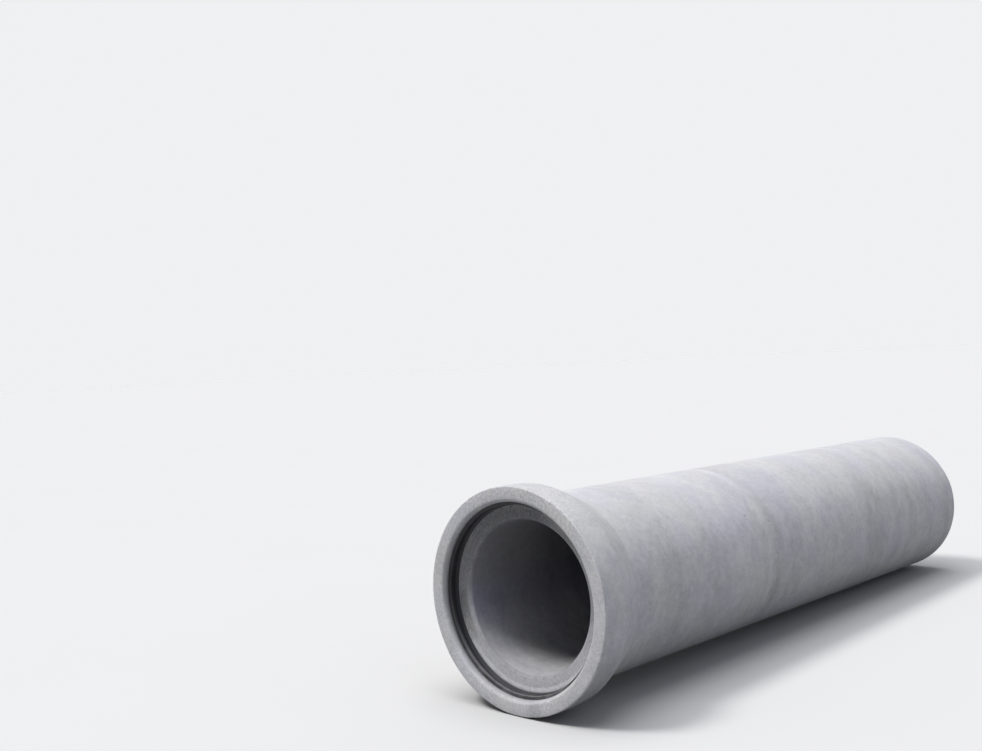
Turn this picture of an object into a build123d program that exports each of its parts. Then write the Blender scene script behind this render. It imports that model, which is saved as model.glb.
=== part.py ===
from build123d import *
from math import asin, atan2, cos, hypot, sin, tan
import os

# Concrete sewer pipe with a bell and a spigot, 450 mm nominal bore, lying on a level floor.
# Lengths are in millimetres. Stations run along the pipe from the bell's front face.

# Waterway and barrel
bore_diameter = 450.0
wall_thickness = 60.0
laying_length = 2500.0
barrel_edge_radius = 4.0

# Outside of the bell
bell_diameter = 655.0
bell_band_length = 100.0
bell_flare_length = 105.0
bell_crown_radius = 60.0
bell_root_radius = 45.0
bell_face_edge_radius = 4.0

# Socket inside the bell, with the chamfer where the waterway starts
socket_depth = 57.5
socket_diameter = 558.0
mouth_lip_radius = 11.0
bore_chamfer_radial = 5.0
bore_chamfer_axial = 9.0

# Low rim on the socket's floor, behind the seal
rim_diameter = 534.0
rim_height = 2.5
rim_width = 8.0
rim_edge_radius = 2.0

# Groove in the socket wall that holds the seal
groove_start = 16.0
groove_end = 53.0
groove_depth = 6.0

# Seal ring: a ramp up to the lip, a valley behind it and a heel against the rim
lip_diameter = 533.0
lip_start = 29.0
lip_end = 34.0
valley_diameter = 550.0
valley_start = 38.0
valley_end = 43.0
heel_diameter = 541.0
heel_start = 47.0
seal_edge_radius = 1.2

# Spigot
spigot_length = 56.0
spigot_diameter = 528.0
spigot_shoulder_run = 6.5
spigot_root_radius = 4.0
spigot_end_chamfer = 4.0
spigot_bore_chamfer = 3.0

# Radii and stations that follow from the sizes above
bore_radius = bore_diameter / 2
barrel_radius = bore_radius + wall_thickness
bell_radius = bell_diameter / 2
socket_radius = socket_diameter / 2
groove_radius = socket_radius + groove_depth
rim_radius = rim_diameter / 2
spigot_radius = spigot_diameter / 2
overall_length = laying_length + spigot_length

# The pipe lies on the crown of its bell and on the far edge of its barrel.
# Both are rounded, so the floor is the line that touches the two arcs.
flare_angle = atan2(bell_radius - barrel_radius, bell_flare_length)
crown_centre = bell_band_length - bell_crown_radius * tan(flare_angle / 2)
shoulder_angle = atan2(barrel_radius - spigot_radius, spigot_shoulder_run)
edge_centre = laying_length - barrel_edge_radius * tan(shoulder_angle / 2)
arc_span = edge_centre - crown_centre
arc_drop = (bell_radius - bell_crown_radius) - (barrel_radius - barrel_edge_radius)
arc_distance = hypot(arc_span, arc_drop)
lying_tilt = atan2(arc_drop, arc_span) + asin((bell_crown_radius - barrel_edge_radius) / arc_distance)

# The origin is on the floor, under the middle of the pipe
crown_centre_height = bell_crown_radius + (bell_radius - bell_crown_radius) * cos(lying_tilt)
mouth_height = crown_centre_height + crown_centre * sin(lying_tilt)
face_overhang = (bell_radius - bell_face_edge_radius) * sin(lying_tilt)
face_overhang += bell_face_edge_radius * (1 - cos(lying_tilt))
tip_overhang = (spigot_radius - spigot_end_chamfer) * sin(lying_tilt)
pipe_extent = face_overhang + overall_length * cos(lying_tilt) + tip_overhang

mouth_centre = Vector(face_overhang - pipe_extent / 2, 0, mouth_height)
pipe_direction = Vector(cos(lying_tilt), 0, -sin(lying_tilt))
pipe_axis = Axis(mouth_centre, pipe_direction)

# Profiles are drawn in the upright plane through the axis: X is the station, Y the radius
profile_plane = Plane(origin=mouth_centre, x_dir=pipe_direction, z_dir=(0, -1, 0))

# Each corner is its station, its radius and the fillet that rounds it
body_corners = [
    (0, bell_radius, bell_face_edge_radius),
    (bell_band_length, bell_radius, bell_crown_radius),
    (bell_band_length + bell_flare_length, barrel_radius, bell_root_radius),
    (laying_length, barrel_radius, barrel_edge_radius),
    (laying_length + spigot_shoulder_run, spigot_radius, spigot_root_radius),
    (overall_length - spigot_end_chamfer, spigot_radius, 0),
    (overall_length, spigot_radius - spigot_end_chamfer, 0),
    (overall_length, bore_radius + spigot_bore_chamfer, 0),
    (overall_length - spigot_bore_chamfer, bore_radius, 0),
    (socket_depth + bore_chamfer_axial, bore_radius, 0),
    (socket_depth, bore_radius + bore_chamfer_radial, 0),
    (socket_depth, rim_radius - rim_width, 0),
    (socket_depth - rim_height, rim_radius, rim_edge_radius),
    (groove_end, rim_radius, 0),
    (groove_end, groove_radius, 0),
    (groove_start, groove_radius, 0),
    (groove_start, socket_radius, 0),
    (0, socket_radius, mouth_lip_radius),
]

seal_corners = [
    (groove_start, groove_radius, 0),
    (groove_end, groove_radius, 0),
    (groove_end, heel_diameter / 2, seal_edge_radius),
    (heel_start, heel_diameter / 2, seal_edge_radius),
    (valley_end, valley_diameter / 2, seal_edge_radius),
    (valley_start, valley_diameter / 2, seal_edge_radius),
    (lip_end, lip_diameter / 2, seal_edge_radius),
    (lip_start, lip_diameter / 2, seal_edge_radius),
    (groove_start, socket_radius, seal_edge_radius),
]


def draw_outline(corners):
    """Draws the closed outline through the corners, each rounded by its own fillet."""
    FilletPolyline(
        [(station, radius) for station, radius, fillet_radius in corners],
        radius=[fillet_radius for station, radius, fillet_radius in corners],
        close=True,
    )


# Pipe body: the bell, the barrel and the spigot are one casting
with BuildPart() as pipe_body:
    with BuildSketch(profile_plane):
        with BuildLine():
            draw_outline(body_corners)
        make_face()
    revolve(axis=pipe_axis)

# Seal ring: one rubber moulding, seated in the groove of the socket wall
with BuildPart() as seal_ring:
    with BuildSketch(profile_plane):
        with BuildLine():
            draw_outline(seal_corners)
        make_face()
    revolve(axis=pipe_axis)

os.makedirs("parts", exist_ok=True)
pipe_body.part.label = "pipe_body"
seal_ring.part.label = "seal_ring"
export_step(pipe_body.part, "parts/pipe_body.step")
export_step(seal_ring.part, "parts/seal_ring.step")
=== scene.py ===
"""Concrete sewer pipe: a cast body with a bell and a spigot, and the rubber seal in its socket.

Lengths are in metres. A station is a distance along the pipe from the bell's front face, a height
is a distance above its axis, and a side is a distance to the axis's left, seen from the bell.
"""

import logging
import random
from dataclasses import dataclass, field
from enum import Enum
from functools import cache
from math import asin, atan2, cos, degrees, exp, hypot, pi, radians, sin, tan
from typing import Sequence, Union

import bmesh
import bpy
from mathutils import Matrix, Vector, noise
from mathutils.kdtree import KDTree


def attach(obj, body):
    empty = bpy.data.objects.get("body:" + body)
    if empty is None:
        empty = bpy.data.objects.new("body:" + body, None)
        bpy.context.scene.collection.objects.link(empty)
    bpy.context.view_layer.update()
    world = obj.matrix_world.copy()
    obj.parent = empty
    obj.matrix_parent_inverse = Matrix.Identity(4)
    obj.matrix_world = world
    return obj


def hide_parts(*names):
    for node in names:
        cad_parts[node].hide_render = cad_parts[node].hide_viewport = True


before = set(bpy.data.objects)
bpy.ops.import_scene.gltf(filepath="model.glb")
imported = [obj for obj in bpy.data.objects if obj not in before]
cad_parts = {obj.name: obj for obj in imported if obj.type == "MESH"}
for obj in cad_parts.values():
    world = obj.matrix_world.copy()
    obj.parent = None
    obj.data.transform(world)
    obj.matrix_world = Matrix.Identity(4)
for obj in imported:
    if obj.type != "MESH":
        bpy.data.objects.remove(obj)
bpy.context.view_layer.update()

LOG = logging.getLogger("sewer_pipe")
BODY = "root"
MM = 0.001

# How a layer's seed moves its noise along each axis, how rough every noise is, and a tone's middle
SEED_SHIFT = (1.0, 0.7, 1.3)
NOISE_ROUGHNESS = 0.55
MIDDLE = 0.5

Triple = tuple[float, float, float]
Colour = Triple


class Slot(Enum):
    """The record's material slots."""

    CONCRETE = "concrete"
    SEAL_RUBBER = "seal_rubber"


# Shader expressions


@dataclass(frozen=True)
class Ramp:
    """A soft step: where along a measure it starts and ends, and how much it amounts to."""

    low: float
    high: float
    amount: float = 1.0


@dataclass(frozen=True)
class Layer:
    """One layer of cloudy noise, and its share where only one thing takes it."""

    scale: float
    detail: float
    seed: float
    share: float = 1.0
    stretch: Triple = (1.0, 1.0, 1.0)


Layers = tuple[tuple[Layer, float], ...]


class Value:
    """A shader socket that takes part in sums and products; each operation adds a Math node."""

    def __init__(self, bench: "NodeBench", socket: bpy.types.NodeSocket) -> None:
        """Keeps the socket and the bench that adds nodes to its tree."""
        self.bench = bench
        self.socket = socket

    def __add__(self, other: "Number") -> "Value":
        """The sum of the two."""
        return self.bench.maths("ADD", self, other)

    def __sub__(self, other: "Number") -> "Value":
        """This value less the other."""
        return self.bench.maths("SUBTRACT", self, other)

    def __mul__(self, other: "Number") -> "Value":
        """The product of the two."""
        return self.bench.maths("MULTIPLY", self, other)

    def __truediv__(self, other: "Number") -> "Value":
        """This value over the other."""
        return self.bench.maths("DIVIDE", self, other)

    def __rsub__(self, other: "Number") -> "Value":
        """The other value less this one."""
        return self.bench.maths("SUBTRACT", other, self)

    __radd__ = __add__
    __rmul__ = __mul__

    def rise(self, ramp: Ramp) -> "Value":
        """A soft step from 0 before the ramp to its amount after it."""
        given = {"Value": self, "From Min": ramp.low, "From Max": ramp.high, "To Max": ramp.amount}
        return self.bench.value("ShaderNodeMapRange", {"interpolation_type": "SMOOTHSTEP"}, given)

    def fall(self, ramp: Ramp) -> "Value":
        """A soft step from the ramp's amount before it to 0 after it."""
        return ramp.amount - self.rise(ramp)


Number = Union[Value, float]
Paint = Union[Colour, bpy.types.NodeSocket]


class NodeBench:
    """Adds the nodes of one material or world."""

    def __init__(self, owner: bpy.types.Material | bpy.types.World) -> None:
        """Switches the owner's nodes on and empties its tree.

        Args:
            owner: The material or world.
        """
        owner.use_nodes = True
        self.tree = owner.node_tree
        self.tree.nodes.clear()

    def add(self, kind: str, settings: dict | None = None, sockets: dict | None = None) -> bpy.types.Node:
        """Adds one node.

        Args:
            kind: The node's type.
            settings: Properties that are set first; stops are a ramp's (position, grey) pairs.
            sockets: Numbers, colours, values or sockets for its inputs, by name or place.

        Returns:
            The new node.
        """
        node = self.tree.nodes.new(kind)
        for name, setting in (settings or {}).items():
            if name == "stops":
                self.set_stops(node.color_ramp, setting)
            else:
                setattr(node, name, setting)
        for name, given in (sockets or {}).items():
            given = given.socket if isinstance(given, Value) else given
            if isinstance(given, bpy.types.NodeSocket):
                self.tree.links.new(given, node.inputs[name])
            else:
                node.inputs[name].default_value = given
        return node

    def set_stops(self, ramp: bpy.types.ColorRamp, stops: Sequence[tuple[float, float]]) -> None:
        """Gives a ramp its grey stops.

        Args:
            ramp: The ramp of a Color Ramp node.
            stops: Each stop's position and its grey, in rising order.
        """
        while len(ramp.elements) < len(stops):
            ramp.elements.new(1.0)
        for element, (position, grey) in zip(ramp.elements, stops):
            element.position = position
            element.color = (grey, grey, grey, 1.0)

    def value(self, kind: str, settings: dict, sockets: dict, output: str | int = 0) -> Value:
        """Adds a node and wraps one of its outputs, by name or place."""
        return Value(self, self.add(kind, settings, sockets).outputs[output])

    def maths(self, operation: str, *terms: Number) -> Value:
        """Adds a Math node over the terms."""
        return self.value("ShaderNodeMath", {"operation": operation}, dict(enumerate(terms)))

    def grain(self, place: bpy.types.NodeSocket, layer: Layer) -> Value:
        """Cloudy noise, from -1 to 1 about a mean of 0.

        Args:
            place: The coordinates, in metres.
            layer: Its scale, detail, seed and stretch.

        Returns:
            The noise.
        """
        shift = [layer.seed * part for part in SEED_SHIFT]
        moved = {"Vector": place, "Location": shift, "Scale": layer.stretch}
        spread = {"Vector": self.add("ShaderNodeMapping", {}, moved).outputs[0]}
        grain = {"Scale": layer.scale, "Detail": layer.detail, "Roughness": NOISE_ROUGHNESS}
        return (self.value("ShaderNodeTexNoise", {}, {**spread, **grain}) - MIDDLE) * 2.0

    def blend(self, share: Number, first: Paint, second: Paint) -> bpy.types.NodeSocket:
        """Blends two colours.

        Args:
            share: How much of the second there is, from 0 to 1.
            first: A colour or its socket.
            second: The other colour or its socket.

        Returns:
            The blend.
        """
        first, second = ((*paint, 1.0) if isinstance(paint, tuple) else paint for paint in (first, second))
        mix = self.add("ShaderNodeMix", {"data_type": "RGBA"}, {"Factor": share, 6: first, 7: second})
        return mix.outputs[2]

    def toned(self, paint: Paint, tone: Value) -> bpy.types.NodeSocket:
        """A colour made lighter or darker by a factor."""
        scaled = self.add("ShaderNodeVectorMath", {"operation": "SCALE"}, {"Vector": paint, "Scale": tone})
        return scaled.outputs[0]

    def bump(self, relief: Value, strength: float, depth: float) -> bpy.types.NodeSocket:
        """The normal of a fine relief, with its strength and its depth in metres."""
        given = {"Strength": strength, "Distance": depth, "Height": relief}
        return self.add("ShaderNodeBump", {}, given).outputs[0]

    def surface(self, sockets: dict) -> None:
        """Adds a surface with these inputs, and sends it to the material's output."""
        shader = self.add("ShaderNodeBsdfPrincipled", {}, sockets)
        self.add("ShaderNodeOutputMaterial", {}, {"Surface": shader.outputs[0]})


def add_object(name: str, data: bpy.types.ID) -> bpy.types.Object:
    """Adds an object to the scene.

    Args:
        name: Its name.
        data: Its mesh, lamp or lens.

    Returns:
        The object.
    """
    made = bpy.data.objects.new(name, data)
    bpy.context.scene.collection.objects.link(made)
    return made


def add_mesh(name: str, mesh: bmesh.types.BMesh, material: bpy.types.Material) -> bpy.types.Object:
    """Adds a mesh to the scene.

    Args:
        name: Its name.
        mesh: The mesh, which is freed.
        material: Its finish.

    Returns:
        The object that holds it.
    """
    data = bpy.data.meshes.new(name)
    mesh.to_mesh(data)
    mesh.free()
    data.materials.append(material)
    return add_object(name, data)


# Where the pipe lies


@dataclass(frozen=True)
class PipeLine:
    """The pipe's driving sizes, and its axis as it lies on its bell's crown and its barrel's far edge."""

    bell_radius: float = 327.5 * MM
    barrel_radius: float = 285.0 * MM
    band_length: float = 100.0 * MM
    flare_length: float = 105.0 * MM
    crown_rounding: float = 60.0 * MM
    laying_length: float = 2500.0 * MM
    far_edge_rounding: float = 4.0 * MM
    shoulder_run: float = 6.5 * MM
    spigot_radius: float = 264.0 * MM
    spigot_chamfer: float = 4.0 * MM
    overall_length: float = 2556.0 * MM
    face_rounding: float = 4.0 * MM
    # The groove in the socket's wall, which the seal fills
    groove_front: float = 22.0 * MM
    groove_back: float = 54.5 * MM
    groove_radius: float = 285.0 * MM

    def crown_station(self) -> float:
        """The station of the centre of the crown's rounding."""
        flare = atan2(self.bell_radius - self.barrel_radius, self.flare_length)
        return self.band_length - self.crown_rounding * tan(flare / 2)

    def tilt(self) -> float:
        """Works out how the pipe lies.

        Returns:
            The angle by which it drops towards its spigot.
        """
        shoulder = atan2(self.barrel_radius - self.spigot_radius, self.shoulder_run)
        edge_station = self.laying_length - self.far_edge_rounding * tan(shoulder / 2)
        span = edge_station - self.crown_station()
        drop = (self.bell_radius - self.crown_rounding) - (self.barrel_radius - self.far_edge_rounding)
        return atan2(drop, span) + asin((self.crown_rounding - self.far_edge_rounding) / hypot(span, drop))

    def mouth(self) -> Vector:
        """Works out where the pipe lies, centred over the frame's origin.

        Returns:
            The centre of the bell's front face.
        """
        tilt = self.tilt()
        crown_height = self.crown_rounding + (self.bell_radius - self.crown_rounding) * cos(tilt)
        face_overhang = (self.bell_radius - self.face_rounding) * sin(tilt)
        face_overhang += self.face_rounding * (1 - cos(tilt))
        tip_overhang = (self.spigot_radius - self.spigot_chamfer) * sin(tilt)
        extent = face_overhang + self.overall_length * cos(tilt) + tip_overhang
        return Vector((face_overhang - extent / 2, 0.0, crown_height + self.crown_station() * sin(tilt)))

    def from_tip(self, reach: Ramp) -> Ramp:
        """The stations of a ramp whose reach is counted back from the spigot's end."""
        return Ramp(self.overall_length - reach.high, self.overall_length - reach.low, reach.amount)

    def placement(self) -> Matrix:
        """Turns stations along X and radii across it into the frame's coordinates."""
        return Matrix.Translation(self.mouth()) @ Matrix.Rotation(self.tilt(), 4, "Y")


class PipePlace:
    """Where a shaded point is on the pipe, from Object coordinates turned to the pipe's axis."""

    def __init__(self, bench: NodeBench, line: PipeLine) -> None:
        """Adds the nodes that turn the coordinates.

        Args:
            bench: The bench of the material that reads them.
            line: The pipe's axis.
        """
        seen = {"Vector": bench.add("ShaderNodeTexCoord").outputs["Object"]}
        shift = line.placement().inverted().to_translation()
        turn = {"Location": shift, "Rotation": (0.0, -line.tilt(), 0.0)}
        self.bench = bench
        self.line = line
        self.vector = bench.add("ShaderNodeMapping", {}, {**seen, **turn}).outputs[0]
        parts = bench.add("ShaderNodeSeparateXYZ", {}, {"Vector": self.vector}).outputs
        self.station, self.side, self.height = (Value(bench, part) for part in parts)
        across = bench.add("ShaderNodeVectorMath", {"operation": "MULTIPLY"}, {0: self.vector, 1: (0, 1, 1)})
        spoke = {0: across.outputs[0]}
        self.radius = bench.value("ShaderNodeVectorMath", {"operation": "LENGTH"}, spoke, "Value")

    @cache
    def grain(self, layer: Layer) -> Value:
        """A layer of cloudy noise in the pipe's coordinates, which is added once."""
        return self.bench.grain(self.vector, layer)

    def mixed(self, layers: Layers) -> Value:
        """The sum of several layers, each by its share."""
        terms = [self.grain(layer) * share for layer, share in layers]
        return sum(terms[1:], terms[0])


# Parts of the concrete's finish, and the layers that they have in common

BLOTCHES = Layer(21.0, 2.0, 4.1, stretch=(1.0, 0.7, 0.7))
MOTTLE = Layer(50.0, 2.0, 5.6, stretch=(1.0, 0.9, 0.9))
GRIT = Layer(120.0, 3.0, 12.4)
SAND = Layer(300.0, 2.0, 9.9)


@dataclass(frozen=True)
class CastSkin:
    """The cast skin's clouds, streaks and patches, which rain has softened high up."""

    clouds: Layer = Layer(5.5, 4.0, 1.7, 0.11)
    streaks: Layer = Layer(18.0, 1.0, 7.3, 0.05, (1.0, 0.2, 0.2))
    patches: Layers = ((BLOTCHES, 0.165), (MOTTLE, 0.15))
    washed: Ramp = Ramp(0.10, 0.26, 0.4)

    def tone(self, place: PipePlace) -> Value:
        """The skin's tone, about a mean of 1."""
        drift = place.grain(self.clouds) * self.clouds.share + place.grain(self.streaks) * self.streaks.share
        return 1.0 + drift + place.mixed(self.patches) * (1.0 - place.height.rise(self.washed))


@dataclass(frozen=True)
class PourRings:
    """Light and dark rings that the pour left across the barrel, a little wavy and uneven."""

    # Each ring's place as a share of the pipe's length, and its tone about the middle
    rings: tuple[tuple[float, float], ...] = (
        (0.000, 0.50), (0.130, 0.50), (0.167, 0.30), (0.195, 0.56), (0.238, 0.38), (0.262, 0.58),
        (0.305, 0.68), (0.350, 0.52), (0.362, 0.54), (0.371, 0.78), (0.380, 0.44), (0.392, 0.16),
        (0.410, 0.42), (0.445, 0.40), (0.484, 0.56), (0.520, 0.52), (0.600, 0.53), (0.638, 0.56),
        (0.668, 0.30), (0.704, 0.34), (0.738, 0.60), (0.765, 0.32), (0.784, 0.68), (0.806, 0.40),
        (0.846, 0.58), (0.880, 0.42), (0.915, 0.62), (0.950, 0.36), (0.976, 0.54), (1.000, 0.50),
    )
    strength: float = 0.50
    wander: Layer = Layer(3.0, 2.0, 21.0, 6.0 * MM)
    fading: Layer = Layer(2.6, 3.0, 26.0, 0.35)
    faded: Ramp = Ramp(-0.5, 0.3)
    washed: Ramp = Ramp(0.06, 0.27, 0.35)
    soiled: Ramp = Ramp(-0.22, -0.10, 0.5)

    def tone(self, place: PipePlace) -> Value:
        """Draws the rings across the barrel.

        Args:
            place: Where the shaded point is.

        Returns:
            The tone that they add, about a mean of 0.
        """
        wavy = place.station + place.grain(self.wander) * self.wander.share
        along = {"Fac": wavy / place.line.overall_length}
        ring = place.bench.value("ShaderNodeValToRGB", {"stops": self.rings}, along)
        kept = place.grain(self.fading).rise(self.faded) * self.fading.share + (1.0 - self.fading.share)
        seen = 1.0 - place.height.rise(self.washed) - place.height.fall(self.soiled)
        return (ring - MIDDLE) * kept * seen * self.strength


@dataclass(frozen=True)
class EndFaces:
    """The flat faces at the pipe's two ends: paler, with dark speckle, and a dark patch low on the bell's."""

    depth: Ramp = Ramp(1.0 * MM, 4.0 * MM)
    paler: float = 0.12
    evener: Layers = ((BLOTCHES, 0.03), (MOTTLE, 0.03))
    speckle: Layer = Layer(150.0, 3.0, 31.0, 0.20)
    speckled: Ramp = Ramp(0.05, 0.60)
    speckle_mean: float = 0.6
    speckle_drift: float = 1.2
    specks: Layer = Layer(200.0, 1.0, 34.0, 0.26)
    specked: Ramp = Ramp(0.36, 0.60)
    more_specks: float = 0.22
    dark_patch_right: Ramp = Ramp(-0.100, -0.074)
    dark_patch_left: Ramp = Ramp(-0.060, -0.034)
    dark_patch_top: Ramp = Ramp(-0.27, -0.24, 0.15)

    def mask(self, place: PipePlace) -> Value:
        """1 on the two faces, and 0 elsewhere."""
        return place.station.fall(self.depth) + place.station.rise(place.line.from_tip(self.depth))

    def tone(self, place: PipePlace) -> Value:
        """Darkens the specks, which are scattered everywhere, and tones the faces.

        Args:
            place: Where the shaded point is.

        Returns:
            A factor on the tone.
        """
        ends = self.mask(place)
        speckle = place.grain(self.speckle).rise(self.speckled) * self.speckle.share
        speckle = speckle * (self.speckle_mean + place.grain(BLOTCHES) * self.speckle_drift)
        dark_patch = place.side.rise(self.dark_patch_right) * place.side.fall(self.dark_patch_left)
        dark_patch = dark_patch * place.height.fall(self.dark_patch_top)
        ground = 1.0 + ends * (self.paler - place.mixed(self.evener) - speckle - dark_patch)
        specks = place.grain(self.specks).rise(self.specked)
        return ground * (1.0 - specks * (self.specks.share + ends * self.more_specks))


@dataclass(frozen=True)
class RoughEdge:
    """The rough and dirty edge low down where the bore starts."""

    start: Ramp = Ramp(55.0 * MM, 57.0 * MM)
    end: Ramp = Ramp(66.0 * MM, 69.0 * MM)
    radii: Ramp = Ramp(233.5 * MM, 236.0 * MM)
    heights: Ramp = Ramp(-0.19, -0.06)
    darkening: float = 0.30
    clods: Layers = ((MOTTLE, 1.0), (GRIT, 1.0))
    clotted: Ramp = Ramp(-0.1, 0.7, 0.3)

    def mask(self, place: PipePlace) -> Value:
        """1 on the edge, low down, and 0 elsewhere."""
        edge = place.station.rise(self.start) * place.station.fall(self.end)
        return edge * place.radius.fall(self.radii) * place.height.fall(self.heights)

    def tone(self, place: PipePlace) -> Value:
        """A factor on the tone."""
        return 1.0 - self.mask(place) * (self.darkening + place.mixed(self.clods).rise(self.clotted))


@dataclass(frozen=True)
class EndWall:
    """The wall at the end of the socket: painted shade that deepens towards its top, a patch on the right
    where that shade is lifted as painted light, and a painted shadow low on the left.
    """

    start: Ramp = Ramp(45.0 * MM, 53.0 * MM)
    end: Ramp = Ramp(64.0 * MM, 67.0 * MM)
    radii: Ramp = Ramp(266.0 * MM, 272.0 * MM)
    # Painted shade, deeper towards the top
    low_shade: Ramp = Ramp(-0.17, 0.06, 0.36)
    high_shade: Ramp = Ramp(0.06, 0.25, 0.26)
    inner_share: float = 0.88
    outer_shade: Ramp = Ramp(236.0 * MM, 248.0 * MM, 0.12)
    outer_light: Ramp = Ramp(236.0 * MM, 248.0 * MM, 0.07)
    chamfer: Ramp = Ramp(230.0 * MM, 243.0 * MM)
    chamfer_shade: float = 0.10
    # A patch on the right where the painted shade is lifted, as painted light
    unshaded_right: Ramp = Ramp(-0.22, -0.17)
    unshaded_left: Ramp = Ramp(-0.12, -0.04, 0.42)
    # A painted shadow low on the left
    dark_patch_right: Ramp = Ramp(0.17, 0.22, 0.40)
    dark_patch_foot: Ramp = Ramp(-0.175, -0.11)
    dark_patch_top: Ramp = Ramp(-0.060, 0.050)

    def mask(self, place: PipePlace) -> Value:
        """1 on the wall and its rim, and 0 elsewhere."""
        return place.station.rise(self.start) * place.station.fall(self.end) * place.radius.fall(self.radii)

    def tone(self, place: PipePlace) -> Value:
        """Paints shade, light and a shadow on the wall.

        Args:
            place: Where the shaded point is.

        Returns:
            A factor on the tone.
        """
        chamfer = place.radius.fall(self.chamfer)
        unshaded = place.side.rise(self.unshaded_right) * place.side.fall(self.unshaded_left)
        shade = (place.height.rise(self.low_shade) + place.height.rise(self.high_shade)) * (1.0 - unshaded)
        shade = shade * (self.inner_share + place.radius.rise(self.outer_shade))
        shade = shade * (1.0 + chamfer * self.chamfer_shade) - place.radius.rise(self.outer_light)
        dark_patch = place.height.rise(self.dark_patch_foot) * place.height.fall(self.dark_patch_top)
        dark_patch = dark_patch * place.side.rise(self.dark_patch_right) * (1.0 - chamfer)
        return 1.0 - self.mask(place) * (shade + dark_patch)


@dataclass(frozen=True)
class BoreWall:
    """The bore's wall in painted light and shade: painted shade along its top and low down, more high up deep
    inside, and painted light on the very floor and low down past the line where the mouth's shadow begins.
    """

    radii: Ramp = Ramp(226.0 * MM, 229.0 * MM)
    tip_end: Ramp = Ramp(5.0 * MM, 25.0 * MM)
    # Painted shade along the top and low down
    dark_top: Ramp = Ramp(0.06, 0.20, 0.27)
    dark_floor: Ramp = Ramp(-0.12, -0.02, 0.15)
    # Painted light low down past the mouth's shadow line, and along the very floor
    brightening: Ramp = Ramp(-0.15, -0.03, 0.62)
    floor_light: Ramp = Ramp(-0.215, -0.185, 0.10)
    # More painted shade high up deep inside
    deep: Ramp = Ramp(0.26, 0.48)
    deep_shade: Ramp = Ramp(-0.09, 0.02, 0.20)
    # Where the mouth's shadow begins: a line that runs deeper into the bore lower down
    shadow_slant: float = 1.15
    mouth_edge: Ramp = Ramp(-0.06, 0.12)
    # The heights of the painted shade colour, high in the bore
    painted_shade_heights: Ramp = Ramp(-0.23, 0.07)
    blue_foot: Ramp = Ramp(-0.215, -0.16)
    blue_top: Ramp = Ramp(-0.04, 0.06)

    def mask(self, place: PipePlace) -> Value:
        """1 on the wall, fading out at the spigot's end, and 0 elsewhere."""
        return place.radius.fall(self.radii) * place.station.fall(place.line.from_tip(self.tip_end))

    def tone(self, place: PipePlace) -> Value:
        """Paints shade and light on the wall, with painted light past a slanted line where the mouth's shadow
        begins.

        Args:
            place: Where the shaded point is.

        Returns:
            A factor on the tone.
        """
        height = place.height
        past_shadow_edge = (place.station + height * self.shadow_slant).rise(self.mouth_edge)
        light = height.fall(self.brightening) * past_shadow_edge + height.fall(self.floor_light)
        dark = height.fall(self.dark_floor) + height.rise(self.dark_top)
        dark = dark + place.station.rise(self.deep) * height.rise(self.deep_shade)
        return 1.0 + self.mask(place) * (light - dark)

    def painted_shade(self, place: PipePlace) -> Value:
        """1 high in the bore, where the wall is painted darker as shade, and 0 low down or outside."""
        return self.mask(place) * place.height.rise(self.painted_shade_heights)

    def blueness(self, place: PipePlace) -> Value:
        """1 half way up the pipe, where the bore's painted shade takes a painted blue of sky light, and 0
        high up and low down.
        """
        return place.height.rise(self.blue_foot) * place.height.fall(self.blue_top)


@dataclass(frozen=True)
class PaintedFootShade:
    """Painted shade on the outside near the ground, most of it on the bell and the barrel."""

    radii: Ramp = Ramp(280.0 * MM, 283.0 * MM)
    behind_face: Ramp = Ramp(4.0 * MM, 12.0 * MM)
    heights: Ramp = Ramp(-0.24, -0.07)
    everywhere: float = 0.05
    on_bell: Ramp = Ramp(0.08, 0.12, 0.25)
    on_barrel: Ramp = Ramp(0.20, 0.30, 0.14)

    def mask(self, place: PipePlace) -> Value:
        """1 on the outside at the foot, and 0 elsewhere."""
        outside = place.radius.rise(self.radii) * place.station.rise(self.behind_face)
        return outside * place.height.fall(self.heights)

    def tone(self, place: PipePlace) -> Value:
        """A factor on the tone."""
        # How much painted shade each part takes near the ground
        darkening = self.everywhere + place.station.fall(self.on_bell) + place.station.rise(self.on_barrel)
        return 1.0 - self.mask(place) * darkening


@dataclass(frozen=True)
class AirHoles:
    """Small holes left by air bubbles, in the colour as painted shade and in the relief."""

    scale: float = 75.0
    sizes: Ramp = Ramp(0.90, 1.0, 0.13)
    edge: Ramp = Ramp(0.0, 0.05)
    # The holes' colour is darkened as painted shade
    shade: float = 0.4
    relief: float = 1.6
    rougher: float = 0.1

    def mask(self, place: PipePlace) -> Value:
        """Scatters the holes over a pattern of cells, one to every tenth cell.

        Args:
            place: Where the shaded point is.

        Returns:
            1 in a hole and 0 elsewhere.
        """
        bench = place.bench
        cells = bench.add("ShaderNodeTexVoronoi", {}, {"Vector": place.vector, "Scale": self.scale})
        chance = bench.value("ShaderNodeSeparateColor", {}, {0: cells.outputs["Color"]})
        return (chance.rise(self.sizes) - Value(bench, cells.outputs["Distance"])).rise(self.edge)


# Finishes


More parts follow.
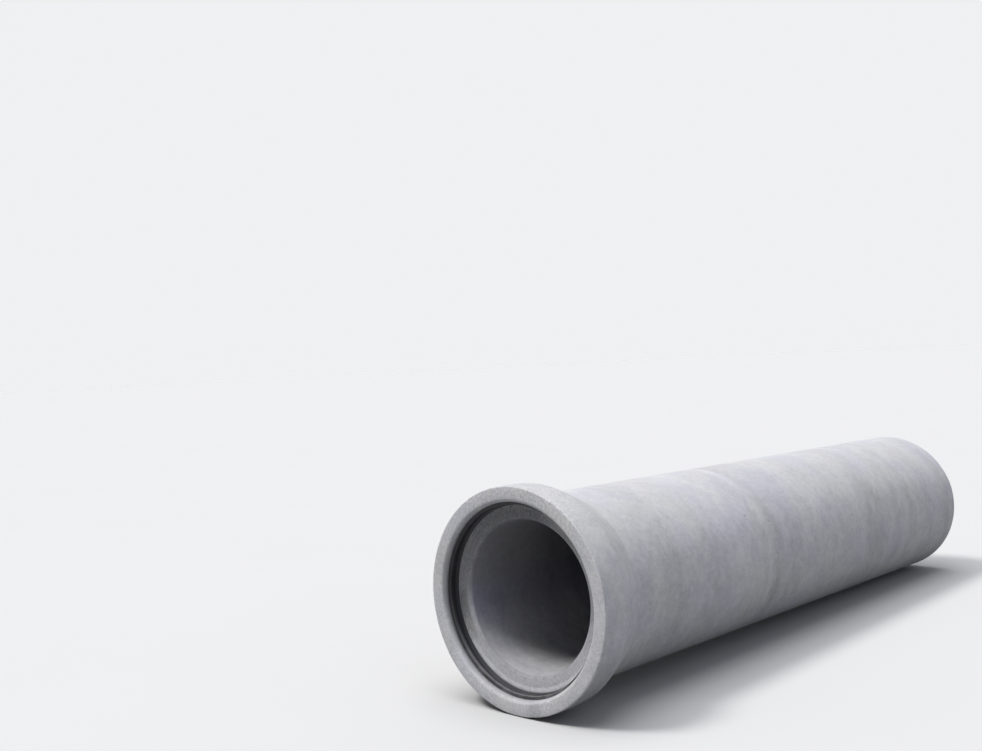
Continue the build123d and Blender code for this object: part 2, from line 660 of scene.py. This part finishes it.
@dataclass(frozen=True)
class CastConcrete:
    """Grey cast concrete: a clouded skin with pour rings and air holes, sandy faces, and painted light and
    shade in the socket, the bore, the holes and near the ground.
    """

    name: str = "cast_concrete"
    cool_grey: Colour = (0.2350, 0.2368, 0.2580)
    warm_grey: Colour = (0.2440, 0.2440, 0.2490)
    # Painted shade high in the bore, and its painted blue of sky light half way up
    painted_shade_grey: Colour = (0.152, 0.153, 0.164)
    blue_grey: Colour = (0.158, 0.158, 0.212)
    fine_grain: Layers = ((GRIT, 0.15), (SAND, 0.13))
    hue_drift: Layer = Layer(5.0, 3.0, 15.8)
    hue_grain: Layers = ((BLOTCHES, 0.25), (MOTTLE, 0.25), (GRIT, 0.3))
    warming: Ramp = Ramp(-0.35, 0.35)
    skin: CastSkin = CastSkin()
    rings: PourRings = PourRings()
    faces: EndFaces = EndFaces()
    rough_edge: RoughEdge = RoughEdge()
    end_wall: EndWall = EndWall()
    bore: BoreWall = BoreWall()
    foot: PaintedFootShade = PaintedFootShade()
    holes: AirHoles = AirHoles()
    # Sand shows on the end faces, in the socket, and on top of the bell, where rain washes it
    bare_grain: Layers = ((GRIT, 0.18), (SAND, 0.15))
    bare_wall: float = 0.8
    bare_stations: Ramp = Ramp(0.10, 0.17)
    bare_heights: Ramp = Ramp(0.16, 0.30)
    shine: float = 0.35
    roughness: float = 0.84
    grit_roughness: float = 0.08
    relief_grain: Layers = ((BLOTCHES, 0.4), (GRIT, 0.35), (SAND, 0.25))
    relief_strength: float = 0.45
    relief_depth: float = 1.2 * MM

    def material(self, line: PipeLine) -> bpy.types.Material:
        """Builds the finish.

        Args:
            line: The pipe's axis, which the rings run round.

        Returns:
            The material.
        """
        made = bpy.data.materials.new(self.name)
        bench = NodeBench(made)
        place = PipePlace(bench, line)
        holes = self.holes.mask(place)
        uneven = place.grain(GRIT) * self.grit_roughness + holes * self.holes.rougher
        relief = place.mixed(self.relief_grain) - holes * self.holes.relief
        bench.surface(
            {
                "Base Color": bench.toned(self.paint(place), self.tone(place, holes)),
                "Roughness": self.roughness + uneven,
                "Specular IOR Level": self.shine,
                "Normal": bench.bump(relief, self.relief_strength, self.relief_depth),
            }
        )
        return made

    def tone(self, place: PipePlace, holes: Value) -> Value:
        """How light or dark the concrete is.

        Args:
            place: Where the shaded point is.
            holes: The mask of the air holes.

        Returns:
            A factor on the colour, about a mean of 1.
        """
        tone = self.skin.tone(place) + self.rings.tone(place) + place.mixed(self.fine_grain)
        tone = tone * (1.0 - holes * self.holes.shade) * self.faces.tone(place)
        # The end wall's tone is painted shade, painted light and a painted shadow
        tone = tone * self.rough_edge.tone(place) * self.end_wall.tone(place)
        bare = place.station.fall(self.bare_stations) * place.height.rise(self.bare_heights)
        bare = bare + self.faces.mask(place) + self.end_wall.mask(place) * self.bare_wall
        tone = tone + bare * place.mixed(self.bare_grain)
        # The bore's and the foot's tones are painted light and shade
        return tone * self.bore.tone(place) * self.foot.tone(place)

    def paint(self, place: PipePlace) -> bpy.types.NodeSocket:
        """The concrete's colour, between a cool and a warm grey, and in the bore a darker painted shade that
        turns bluer half way up as painted sky light.

        Args:
            place: Where the shaded point is.

        Returns:
            The colour.
        """
        bench = place.bench
        warmth = (place.grain(self.hue_drift) + place.mixed(self.hue_grain)).rise(self.warming)
        unshaded = bench.blend(warmth, self.cool_grey, self.warm_grey)
        # The bore's painted shade colour, bluer half way up as painted sky light
        painted_shade_colour = bench.blend(self.bore.blueness(place), self.painted_shade_grey, self.blue_grey)
        return bench.blend(self.bore.painted_shade(place), unshaded, painted_shade_colour)


@dataclass(frozen=True)
class MouldedRubber:
    """Black seal rubber with a satin skin, dusted low down; its lip is paler, partly dusted and partly a
    painted highlight, and the valley behind it stays black, partly clean and partly painted shade.
    """

    name: str = "moulded_rubber"
    black: Colour = (0.0115, 0.0115, 0.0140)
    # The grey of dusting and of the lip's painted highlight
    brightening: Colour = (0.155, 0.155, 0.166)
    dusting: Layer = Layer(22.0, 4.0, 3.3, 0.6, (2.0, 1.0, 1.0))
    dusted: Ramp = Ramp(-0.4, 0.7)
    clean: Ramp = Ramp(-0.27, -0.12, 0.9)
    # The lip is paler, partly dusted and partly a painted highlight
    lip_radii: Ramp = Ramp(273.0 * MM, 274.5 * MM)
    lip_dust_and_sheen: Ramp = Ramp(-0.20, 0.02, 0.5)
    # The valley and heel behind the lip stay black, partly clean and partly painted shade
    valley: Ramp = Ramp(33.4 * MM, 35.0 * MM)
    valley_dust: float = 0.15
    skin: Layer = Layer(400.0, 2.0, 8.8, 0.04)
    shine: float = 0.35
    roughness: float = 0.55
    dust_roughness: float = 0.2
    relief_strength: float = 0.15
    relief_depth: float = 0.3 * MM

    def material(self, line: PipeLine) -> bpy.types.Material:
        """Builds the finish.

        Args:
            line: The pipe's axis.

        Returns:
            The material.
        """
        made = bpy.data.materials.new(self.name)
        bench = NodeBench(made)
        place = PipePlace(bench, line)
        settled = 1.0 - place.height.rise(self.clean)
        # The lip: partly dusting, partly painted highlight; the valley behind it: partly clean, partly
        # painted shade
        lip = place.radius.fall(self.lip_radii) * place.height.fall(self.lip_dust_and_sheen)
        sheltered_and_shaded = place.station.rise(self.valley) * (1.0 - settled * self.valley_dust)
        dust_and_sheen = (place.grain(self.dusting).rise(self.dusted) * settled + lip) * (1.0 - sheltered_and_shaded)
        skin = place.grain(self.skin)
        bench.surface(
            {
                "Base Color": bench.blend(dust_and_sheen * self.dusting.share, self.black, self.brightening),
                "Roughness": self.roughness + dust_and_sheen * self.dust_roughness + skin * self.skin.share,
                "Specular IOR Level": self.shine,
                "Normal": bench.bump(skin, self.relief_strength, self.relief_depth),
            }
        )
        return made


@dataclass(frozen=True)
class PaleFloor:
    """Plain matt floor paint, with a trace of roller texture."""

    name: str = "pale_floor"
    paint: Colour = (0.298, 0.299, 0.302)
    roller: Layer = Layer(1.2, 2.0, 2.0, 0.01)
    shine: float = 0.0
    roughness: float = 1.0

    def material(self) -> bpy.types.Material:
        """Builds the finish.

        Returns:
            The material.
        """
        made = bpy.data.materials.new(self.name)
        bench = NodeBench(made)
        place = bench.add("ShaderNodeTexCoord").outputs["Object"]
        even = 1.0 + bench.grain(place, self.roller) * self.roller.share
        paint = bench.toned(self.paint, even)
        bench.surface({"Base Color": paint, "Roughness": self.roughness, "Specular IOR Level": self.shine})
        return made


# Turned pieces


@dataclass(frozen=True)
class Corner:
    """A corner of a turned outline: its station, its radius, its rounding and the rounding's parts."""

    station: float
    radius: float
    rounding: float = 0.0
    parts: int = 4


@dataclass
class TurnedPiece:
    """A solid of revolution about the pipe's axis."""

    line: PipeLine
    name: str = ""
    node: str = ""
    turns: int = 288
    sectors: int = 12
    seam: float = 0.01 * MM
    step: float = 12.0 * MM

    def corners(self) -> list[Corner]:
        """The outline's corners in order."""
        raise NotImplementedError

    def longest_edge(self, radius: float) -> float:
        """How long an edge of the outline may be at that radius."""
        return self.step

    def outline(self) -> bmesh.types.BMesh:
        """Draws the closed outline, rounds its corners and divides its long edges.

        Returns:
            A mesh of edges in the plane of the axis.
        """
        mesh = bmesh.new()
        corners = self.corners()
        points = [mesh.verts.new((corner.station, 0.0, corner.radius)) for corner in corners]
        mesh.faces.new(points)
        places = [point.co.copy() for point in points]
        for i, (point, corner) in enumerate(zip(points, corners)):
            if corner.rounding:
                before = (places[i] - places[i - 1]).normalized()
                after = (places[(i + 1) % len(places)] - places[i]).normalized()
                bmesh.ops.bevel(
                    mesh,
                    geom=[point],
                    offset=corner.rounding * tan(before.angle(after) / 2),
                    offset_type="OFFSET",
                    affect="VERTICES",
                    segments=corner.parts,
                    profile=0.5,
                    material=-1,
                )
        bmesh.ops.delete(mesh, geom=list(mesh.faces), context="FACES_ONLY")
        for edge in list(mesh.edges):
            middle = (edge.verts[0].co.z + edge.verts[1].co.z) / 2
            cuts = round(edge.calc_length() / self.longest_edge(middle)) - 1
            if cuts > 0:
                bmesh.ops.subdivide_edges(mesh, edges=[edge], cuts=cuts)
        return mesh

    def turn(self) -> bmesh.types.BMesh:
        """Spins the outline into a closed skin with its normals outwards.

        Returns:
            The skin in the pipe's own coordinates.
        """
        mesh = self.outline()
        sector = 2 * pi / self.sectors
        bmesh.ops.spin(
            mesh,
            geom=[*mesh.verts, *mesh.edges],
            cent=(0.0, 0.0, 0.0),
            axis=(1.0, 0.0, 0.0),
            angle=sector,
            steps=self.turns // self.sectors,
        )
        first = [*mesh.verts, *mesh.edges, *mesh.faces]
        for place in range(1, self.sectors):
            copied = bmesh.ops.duplicate(mesh, geom=first)["geom"]
            points = [item for item in copied if isinstance(item, bmesh.types.BMVert)]
            bmesh.ops.rotate(mesh, verts=points, matrix=Matrix.Rotation(sector * place, 3, "X"))
        bmesh.ops.remove_doubles(mesh, verts=list(mesh.verts), dist=self.seam)
        bmesh.ops.recalc_face_normals(mesh, faces=list(mesh.faces))
        return mesh

    def lay(self, mesh: bmesh.types.BMesh, material: bpy.types.Material, slot: Slot) -> bpy.types.Object:
        """Puts a finished skin in its place in the frame, as the piece that stands for its node.

        Args:
            mesh: The skin, which is freed.
            material: Its finish.
            slot: The record's slot that the finish belongs to. Not used.

        Returns:
            The piece.
        """
        bmesh.ops.transform(mesh, matrix=self.line.placement(), verts=list(mesh.verts))
        piece = add_mesh(self.name, mesh, material)
        for polygon in piece.data.polygons:
            polygon.use_smooth = True
        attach(piece, BODY)
        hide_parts(self.node)
        LOG.info("%s: %d faces", self.name, len(piece.data.polygons))
        return piece


@dataclass(frozen=True)
class Chip:
    """A small break in an edge: where it is round the pipe, and how wide and deep."""

    angle: float
    width: float
    depth: float

    def depth_at(self, angle: float, radius: float) -> float:
        """How deep it goes at an angle round an edge of that radius."""
        turn = (angle - self.angle + pi) % (2 * pi) - pi
        return self.depth * exp(-((turn * radius / self.width) ** 2))


@dataclass(frozen=True)
class ChippedEdge:
    """How an edge is chipped: the number of chips, and their least and most width and depth in mm."""

    count: int
    widths: tuple[float, float]
    depths: tuple[float, float] = (0.5, 1.4)

    def chips(self, draw: random.Random) -> list[Chip]:
        """Draws the edge's chips."""
        return [
            Chip(draw.uniform(-pi, pi), draw.uniform(*self.widths) * MM, draw.uniform(*self.depths) * MM)
            for _ in range(self.count)
        ]


@dataclass
class CastBody(TurnedPiece):
    """The concrete casting: bell, barrel and spigot, with the marks that casting leaves."""

    name: str = "cast_body"
    node: str = "pipe_body"
    seed: int = 7

    # The rest of the outline
    root_rounding: float = 45.0 * MM
    shoulder_rounding: float = 4.0 * MM
    tip_rounding: float = 1.0 * MM
    tip_bore_chamfer: float = 3.0 * MM
    bore_edge: Corner = Corner(67.0 * MM, 225.0 * MM, 2.0 * MM, 3)
    chamfer_edge: Corner = Corner(57.5 * MM, 234.0 * MM, 2.0 * MM, 3)
    rim_foot: Corner = Corner(57.5 * MM, 256.0 * MM, 9.0 * MM, 5)
    rim_top: Corner = Corner(54.5 * MM, 266.0 * MM, 1.2 * MM, 4)
    mouth_lip: Corner = Corner(0.0, 281.5 * MM, 13.0 * MM, 7)
    bore_step: float = 75.0 * MM
    margin: float = 1.0 * MM

    # The cast skin, which lies inside the true outline
    swell: float = 0.4 * MM
    swell_mean: float = 0.5
    swell_spread: float = 0.33
    swell_scale: float = 7.0
    ripple_scales: tuple[float, float] = (26.0, 4.0)
    ripple_layer: float = 3.0
    least_depth: float = 0.3 * MM
    true_stations: tuple[float, float] = (1.0 * MM, 60.0 * MM)
    true_radius: float = 290.0 * MM

    # Worn and chipped edges
    edge_wear: float = 0.6 * MM
    edge_reach: float = 5.0 * MM
    ragged_scale: float = 70.0
    chip_evenness: float = 0.6
    mouth_edge: ChippedEdge = ChippedEdge(9, (4.0, 9.0))
    tip_edge: ChippedEdge = ChippedEdge(7, (6.0, 14.0))
    mouth_chips: list[Chip] = field(default_factory=list)
    tip_chips: list[Chip] = field(default_factory=list)

    # Air holes, in faces of the outer skin that are wide enough for one
    hole_count: int = 90
    hole_radius: tuple[float, float] = (1.6 * MM, 3.0 * MM)
    hole_sink: float = 0.9
    hole_cuts: int = 5
    hole_face: float = 45 * MM * MM
    hole_stations: tuple[float, float] = (6.0 * MM, 2490.0 * MM)
    # Holes that the photograph shows: station in mm, angle above the right-hand side in degrees
    seen_holes: tuple[tuple[float, float], ...] = ((863, 32), (1554, 14), (1199, 2), (649, 53), (27, 26))

    def corners(self) -> list[Corner]:
        """The casting's outline, from the bell's outer edge round to its mouth."""
        line, tip = self.line, self.tip_rounding
        return [
            Corner(0.0, line.bell_radius, line.face_rounding, 4),
            Corner(line.band_length, line.bell_radius, line.crown_rounding, 5),
            Corner(line.band_length + line.flare_length, line.barrel_radius, self.root_rounding, 4),
            Corner(line.laying_length, line.barrel_radius, line.far_edge_rounding, 4),
            Corner(line.laying_length + line.shoulder_run, line.spigot_radius, self.shoulder_rounding, 3),
            Corner(line.overall_length - line.spigot_chamfer, line.spigot_radius, tip, 2),
            Corner(line.overall_length, line.spigot_radius - line.spigot_chamfer, tip, 2),
            Corner(line.overall_length, self.bore_edge.radius + self.tip_bore_chamfer, tip, 2),
            Corner(line.overall_length - self.tip_bore_chamfer, self.bore_edge.radius, tip, 2),
            self.bore_edge,
            self.chamfer_edge,
            self.rim_foot,
            self.rim_top,
            Corner(line.groove_back, line.groove_radius),
            Corner(line.groove_front, line.groove_radius),
            Corner(line.groove_front, self.mouth_lip.radius),
            self.mouth_lip,
        ]

    def longest_edge(self, radius: float) -> float:
        """The bore takes longer edges than the skin."""
        return self.bore_step if radius < self.bore_edge.radius + self.margin else self.step

    def worn_edge(self, chips: Sequence[Chip], angle: float, radius: float, ragged: float) -> float:
        """How deep the wear and the chips of an edge go.

        Args:
            chips: The edge's chips.
            angle: The angle round the pipe.
            radius: The radius at that place.
            ragged: How ragged the concrete is there, from 0 to 1.

        Returns:
            The depth.
        """
        chipped = sum(chip.depth_at(angle, radius) for chip in chips)
        return self.edge_wear * ragged + chipped * (self.chip_evenness + (1 - self.chip_evenness) * ragged)

    def depth_at(self, place: Vector) -> float:
        """How far the cast skin lies inside the true outline at a point.

        Args:
            place: The point in the pipe's own coordinates.

        Returns:
            The depth.
        """
        station, radius = place.x, hypot(place.y, place.z)
        angle = atan2(place.z, place.y)
        along, across = self.ripple_scales
        ripple = noise.noise(Vector((station * along, self.ripple_layer, radius * across)))
        swell = noise.noise(place * self.swell_scale) + ripple / 2
        depth = self.swell * (self.swell_mean + self.swell_spread * swell)
        ragged = (1 + noise.noise(place * self.ragged_scale)) / 2
        line, reach = self.line, self.edge_reach
        if radius > line.bell_radius - reach and station < reach:
            depth += self.worn_edge(self.mouth_chips, angle, radius, ragged)
        if radius > line.spigot_radius - reach and station > line.overall_length - reach:
            depth += self.worn_edge(self.tip_chips, angle, radius, ragged)
        return max(depth, self.least_depth)

    def in_socket(self, place: Vector) -> bool:
        """Whether a point is in the socket, whose walls are smooth and true."""
        start, end = self.true_stations
        return start < place.x < end and hypot(place.y, place.z) < self.true_radius

    def weather(self, mesh: bmesh.types.BMesh) -> None:
        """Sinks the skin's points by the casting's swell, worn edges and chips.

        Args:
            mesh: The skin in the pipe's own coordinates.
        """
        mesh.normal_update()
        inner = self.bore_edge.radius + self.margin
        moves = [
            (point, point.normal * self.depth_at(point.co))
            for point in mesh.verts
            if hypot(point.co.y, point.co.z) > inner and not self.in_socket(point.co)
        ]
        for point, move in moves:
            point.co -= move

    def is_skin(self, place: Vector) -> bool:
        """Whether a point is on the outside of the bell or the barrel."""
        start, end = self.hole_stations
        return hypot(place.y, place.z) > self.line.barrel_radius - self.margin and start < place.x < end

    def takes_hole(self, face: bmesh.types.BMFace) -> bool:
        """Whether a face is wide enough for a hole and on the outer skin."""
        wide = len(face.verts) == 4 and face.calc_area() > self.hole_face
        return wide and self.is_skin(face.calc_center_median())

    def nearest_face(
        self, faces: Sequence[bmesh.types.BMFace], station: float, angle: float
    ) -> bmesh.types.BMFace:
        """The face that is nearest to a station and an angle above the right-hand side."""
        spot = Vector((station, -cos(angle) * self.line.barrel_radius, sin(angle) * self.line.barrel_radius))
        return min(faces, key=lambda face: (face.calc_center_median() - spot).length_squared)

    def sink_holes(self, mesh: bmesh.types.BMesh, draw: random.Random) -> None:
        """Sinks round air holes into faces of the outer skin.

        Args:
            mesh: The skin in the pipe's own coordinates.
            draw: The source of the draws.
        """
        mesh.normal_update()
        outside = [face for face in mesh.faces if self.takes_hole(face)]
        chosen = draw.sample(outside, self.hole_count)
        for station, angle in self.seen_holes:
            chosen.append(self.nearest_face(outside, station * MM, radians(angle)))
        sizes = [draw.uniform(*self.hole_radius) for _ in chosen]
        holes = [(face.calc_center_median(), face.normal.copy(), size) for face, size in zip(chosen, sizes)]
        tree = KDTree(len(holes))
        for place, (centre, _, _) in enumerate(holes):
            tree.insert(centre, place)
        tree.balance()
        edges = {edge for face in chosen for edge in face.edges}
        cut = bmesh.ops.subdivide_edges(mesh, edges=list(edges), cuts=self.hole_cuts, use_grid_fill=True)
        for point in (item for item in cut["geom_inner"] if isinstance(item, bmesh.types.BMVert)):
            _, place, distance = tree.find(point.co)
            centre, normal, radius = holes[place]
            if distance < radius:
                point.co -= normal * radius * self.hole_sink * (1 - (distance / radius) ** 2) ** 0.5
        LOG.info("%s: %d air holes", self.name, len(holes))

    def build(self, finish: CastConcrete) -> bpy.types.Object:
        """Turns, weathers and dresses the casting.

        Args:
            finish: Its concrete.

        Returns:
            The piece.
        """
        draw = random.Random(self.seed)
        self.mouth_chips = self.mouth_edge.chips(draw)
        self.tip_chips = self.tip_edge.chips(draw)
        mesh = self.turn()
        self.weather(mesh)
        self.sink_holes(mesh, draw)
        return self.lay(mesh, finish.material(self.line), Slot.CONCRETE)


@dataclass
class SocketSeal(TurnedPiece):
    """The rubber seal in the socket's groove: a broad lip, a valley and a heel."""

    name: str = "moulded_seal"
    node: str = "seal_ring"
    step: float = 6.0 * MM
    heel_back: Corner = Corner(54.5 * MM, 269.0 * MM, 1.0 * MM, 3)
    heel_front: Corner = Corner(51.5 * MM, 269.3 * MM, 1.2 * MM, 4)
    valley_back: Corner = Corner(48.5 * MM, 277.0 * MM, 1.5 * MM, 4)
    valley_front: Corner = Corner(37.0 * MM, 277.5 * MM, 1.5 * MM, 4)
    lip_back: Corner = Corner(33.5 * MM, 272.8 * MM, 1.2 * MM, 5)
    lip_front: Corner = Corner(24.6 * MM, 272.6 * MM, 1.0 * MM, 5)
    front: Corner = Corner(22.0 * MM, 281.0 * MM, 0.5 * MM, 2)

    def corners(self) -> list[Corner]:
        """The seal's outline, from its front along the groove and back over the lip."""
        return [
            Corner(self.line.groove_front, self.line.groove_radius),
            Corner(self.line.groove_back, self.line.groove_radius),
            self.heel_back,
            self.heel_front,
            self.valley_back,
            self.valley_front,
            self.lip_back,
            self.lip_front,
            self.front,
        ]

    def build(self, finish: MouldedRubber) -> bpy.types.Object:
        """Turns and dresses the seal."""
        return self.lay(self.turn(), finish.material(self.line), Slot.SEAL_RUBBER)


# Floor, light and camera


@dataclass(frozen=True)
class SoftLamp:
    """A far lamp with a wide disc: its strength, its width in degrees and where it shines from."""

    name: str
    strength: float
    width: float
    shines_from: Triple
    tint: Colour

    def hang(self) -> None:
        """Hangs the lamp."""
        light = bpy.data.lights.new(self.name, "SUN")
        light.energy = self.strength
        light.angle = radians(self.width)
        light.color = self.tint
        lamp = add_object(self.name, light)
        lamp.rotation_euler = Vector(self.shines_from).to_track_quat("Z", "Y").to_euler()


@dataclass(frozen=True)
class Studio:
    """A plain pale floor under plain soft light, in a room that is paler low down and on the far side."""

    floor_radius: float = 60.0
    floor_segments: int = 96
    lamps: tuple[SoftLamp, ...] = (
        SoftLamp("key", 3.8, 14.0, (-0.42, 0.305, 0.855), (1.0, 0.983, 0.955)),
        SoftLamp("top", 3.95, 50.0, (-0.12, 0.0, 0.993), (0.993, 0.995, 1.0)),
        SoftLamp("side", 1.02, 60.0, (0.0, -0.73, 0.68), (0.82, 0.865, 1.0)),
    )
    far_glow: Colour = (0.866, 0.872, 0.886)
    near_glow: Colour = (0.200, 0.204, 0.216)
    far_side: Triple = (0.68, 0.73, 0.0)
    facing_away: Ramp = Ramp(-0.2, 0.6)
    high_up: Ramp = Ramp(0.10, 0.32)

    def lay_floor(self) -> None:
        """Lays a wide round floor at the pipe's feet."""
        mesh = bmesh.new()
        bmesh.ops.create_circle(mesh, cap_ends=True, segments=self.floor_segments, radius=self.floor_radius)
        add_mesh("floor", mesh, PaleFloor().material())

    def light(self) -> None:
        """Hangs the lamps and fills the room with pale light."""
        for lamp in self.lamps:
            lamp.hang()
        world = bpy.data.worlds.new("room")
        bench = NodeBench(world)
        outward = bench.add("ShaderNodeTexCoord").outputs["Generated"]
        facing = bench.value(
            "ShaderNodeVectorMath", {"operation": "DOT_PRODUCT"}, {0: outward, 1: self.far_side}, "Value"
        )
        height = bench.value("ShaderNodeSeparateXYZ", {}, {"Vector": outward}, "Z")
        dim = facing.fall(self.facing_away) * height.rise(self.high_up)
        glow = bench.blend(dim, self.far_glow, self.near_glow)
        shine = bench.add("ShaderNodeBackground", {}, {"Color": glow, "Strength": 1.0})
        bench.add("ShaderNodeOutputWorld", {}, {"Surface": shine.outputs[0]})
        bpy.context.scene.world = world


@dataclass(frozen=True)
class Viewpoint:
    """The camera at the photograph's viewing angle. Angles are in degrees."""

    eye: Triple = (-3.6838, -2.1933, 1.0492)
    heading: float = 47.109
    pitch: float = -1.357
    roll: float = -2.865
    focal_pixels: float = 1154.28
    frame_width: int = 982
    sensor: float = 36.0
    farthest: float = 200.0

    def place(self) -> None:
        """Sets the scene's camera up."""
        lens = bpy.data.cameras.new("viewpoint")
        lens.sensor_width = self.sensor
        lens.lens = self.focal_pixels / self.frame_width * self.sensor
        lens.clip_end = self.farthest
        camera = add_object("viewpoint", lens)
        turn = Matrix.Rotation(radians(-self.heading), 4, "Z")
        aim = turn @ Matrix.Rotation(radians(90 + self.pitch), 4, "X")
        camera.matrix_world = Matrix.Translation(self.eye) @ aim @ Matrix.Rotation(radians(self.roll), 4, "Z")
        bpy.context.scene.camera = camera


def main() -> None:
    """Builds the pipe, then the room round it."""
    logging.basicConfig(level=logging.INFO, format="%(name)s: %(message)s")
    bpy.context.scene.view_settings.view_transform = "Standard"
    line = PipeLine()
    Viewpoint().place()
    mouth = tuple(round(part, 5) for part in line.mouth())
    LOG.info("tilt %.4f degrees, mouth at %s", degrees(line.tilt()), mouth)
    for piece in (CastBody(line).build(CastConcrete()), SocketSeal(line).build(MouldedRubber())):
        LOG.info("built %s", piece.name)
    studio = Studio()
    studio.lay_floor()
    studio.light()


if __name__ == "__main__":
    main()
